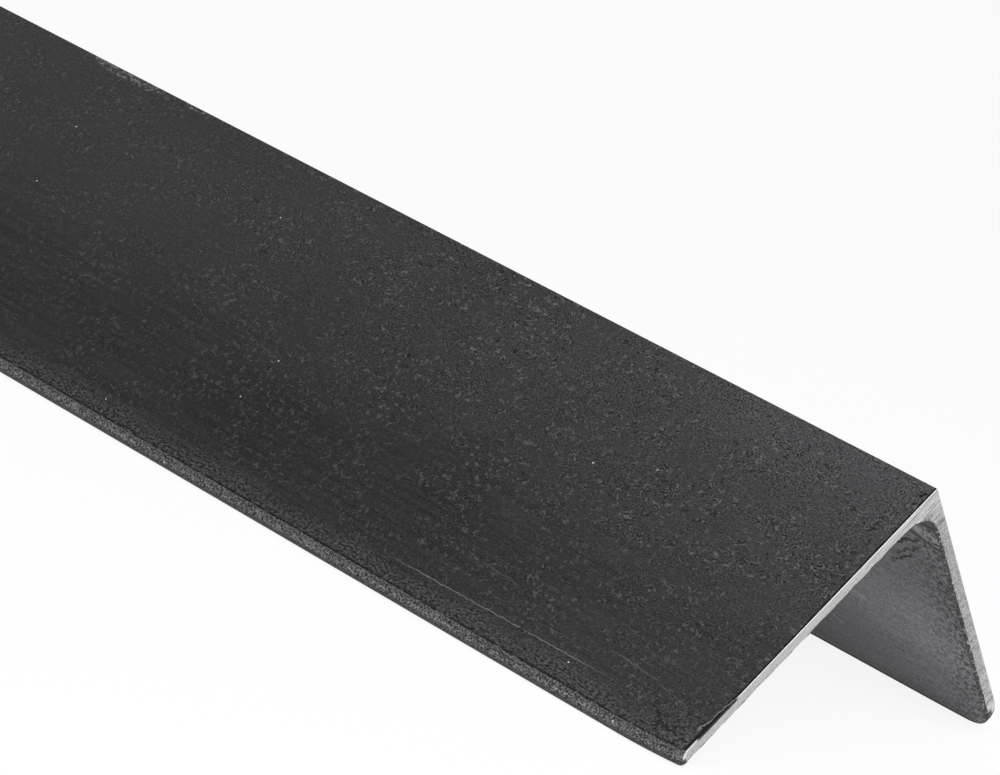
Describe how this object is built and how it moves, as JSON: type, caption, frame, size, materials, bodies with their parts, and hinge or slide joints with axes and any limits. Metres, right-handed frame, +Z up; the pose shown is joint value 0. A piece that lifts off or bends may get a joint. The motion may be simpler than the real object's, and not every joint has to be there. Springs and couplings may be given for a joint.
{
  "type": "steel angle section",
  "caption": "Straight length of equal-leg steel angle with dark mill scale, square-sawn ends and a filleted inner corner, lying heel up.",
  "frame": {"origin": "centre of the bar's bounding box on the floor that its two toes rest on, halfway along its length", "axes": "+X along the bar, +Z up through the heel, the two legs falling 45 degrees to -Y and +Y"},
  "size_m": [1, 0.0698, 0.0366],
  "materials": {
    "mill_scale_steel": "hot-rolled mill scale, bare sawn ends"
  },
  "bodies": {
    "root": {"angle_bar": "mill_scale_steel"}
  },
  "joints": []
}
